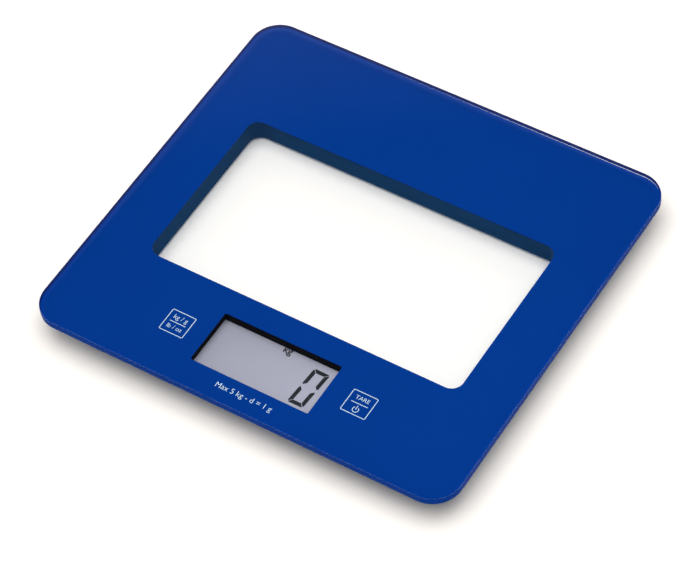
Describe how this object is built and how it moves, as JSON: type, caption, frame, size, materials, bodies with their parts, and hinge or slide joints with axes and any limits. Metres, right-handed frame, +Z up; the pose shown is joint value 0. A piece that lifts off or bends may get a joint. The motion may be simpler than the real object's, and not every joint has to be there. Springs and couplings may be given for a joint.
{
  "type": "digital scale",
  "caption": "Flat digital gram scale: back-printed blue glass platform with a clear middle window, recessed display, printed touch keys, load cells on sprung feet and a twist battery cap.",
  "frame": {"origin": "middle of the footprint, on the surface that the rubber pads stand on", "axes": "+X to the right of the reader, +Y to the rear, away from the display, +Z up"},
  "size_m": [0.2, 0.184, 0.016],
  "materials": {
    "clear_glass": "polished toughened glass with ground edges",
    "blue_print": "opaque blue ink seen through the glass",
    "bonding_sheet": "soft white bonding sheet",
    "frame_plastic": "dark blue moulded plastic, fine spark texture",
    "cap_plastic": "dark blue moulded plastic, fine spark texture",
    "cell_can_steel": "nickel plated can",
    "contact_brass": "sprung sheet",
    "board_laminate": "green solder mask",
    "component_black": "moulded black",
    "socket_nylon": "natural nylon",
    "display_glass": "reflective display under a clear polariser",
    "shroud_plastic": "matte black",
    "contact_rubber": "layered conductive elastomer",
    "spring_steel": "plated wire",
    "gauge_potting": "white potting",
    "screw_steel": "zinc plated",
    "load_cell_steel": "stamped spring steel",
    "foot_plastic": "black moulded plastic",
    "pad_rubber": "soft dark rubber",
    "lead_grey": "three-core flat lead",
    "lead_red": "insulated wire",
    "lead_black": "insulated wire"
  },
  "bodies": {
    "housing": {"glass_platform": "clear_glass", "printed_film": "blue_print", "adhesive_sheet": "bonding_sheet", "upper_frame": "frame_plastic", "bottom_cover": "frame_plastic", "coin_cell": "cell_can_steel", "battery_contact_positive": "contact_brass", "battery_contact_negative": "contact_brass", "main_board": "board_laminate", "board_components": "component_black", "lead_sockets": "socket_nylon", "lcd_panel": "display_glass", "lcd_bezel": "shroud_plastic", "zebra_strip": "contact_rubber", "touch_spring_left": "spring_steel", "touch_spring_right": "spring_steel", "strain_gauges": "gauge_potting", "cover_screws": "screw_steel", "board_screws": "screw_steel", "load_cell_front_left": "load_cell_steel", "sensor_lead_front_left": "lead_grey", "load_cell_front_right": "load_cell_steel", "sensor_lead_front_right": "lead_grey", "load_cell_rear_left": "load_cell_steel", "sensor_lead_rear_left": "lead_grey", "load_cell_rear_right": "load_cell_steel", "sensor_lead_rear_right": "lead_grey", "battery_lead_red": "lead_red", "battery_lead_black": "lead_black"},
    "foot_front_left": {"foot_front_left": "foot_plastic", "foot_pad_front_left": "pad_rubber"},
    "foot_front_right": {"foot_front_right": "foot_plastic", "foot_pad_front_right": "pad_rubber"},
    "foot_rear_left": {"foot_rear_left": "foot_plastic", "foot_pad_rear_left": "pad_rubber"},
    "foot_rear_right": {"foot_rear_right": "foot_plastic", "foot_pad_rear_right": "pad_rubber"},
    "battery_cap": {"battery_cap": "cap_plastic"}
  },
  "joints": [
    {"name": "foot_front_left_slide", "type": "slide", "parent": "housing", "child": "foot_front_left", "axis": [0, 0, 1], "range_m": [0, 0.0004], "stiffness_N_per_m": 300, "springref_m": -0.0083, "deforming": ["load_cell_front_left"]},
    {"name": "foot_front_right_slide", "type": "slide", "parent": "housing", "child": "foot_front_right", "axis": [0, 0, 1], "range_m": [0, 0.0004], "stiffness_N_per_m": 300, "springref_m": -0.0083, "deforming": ["load_cell_front_right"]},
    {"name": "foot_rear_left_slide", "type": "slide", "parent": "housing", "child": "foot_rear_left", "axis": [0, 0, 1], "range_m": [0, 0.0004], "stiffness_N_per_m": 300, "springref_m": -0.0083, "deforming": ["load_cell_rear_left"]},
    {"name": "foot_rear_right_slide", "type": "slide", "parent": "housing", "child": "foot_rear_right", "axis": [0, 0, 1], "range_m": [0, 0.0004], "stiffness_N_per_m": 300, "springref_m": -0.0083, "deforming": ["load_cell_rear_right"]},
    {"name": "battery_cap_turn", "type": "hinge", "parent": "housing", "child": "battery_cap", "pos_m": [0, 0.06202, 0.0024], "axis": [0, 0, 1], "range_deg": [0, 45]}
  ]
}
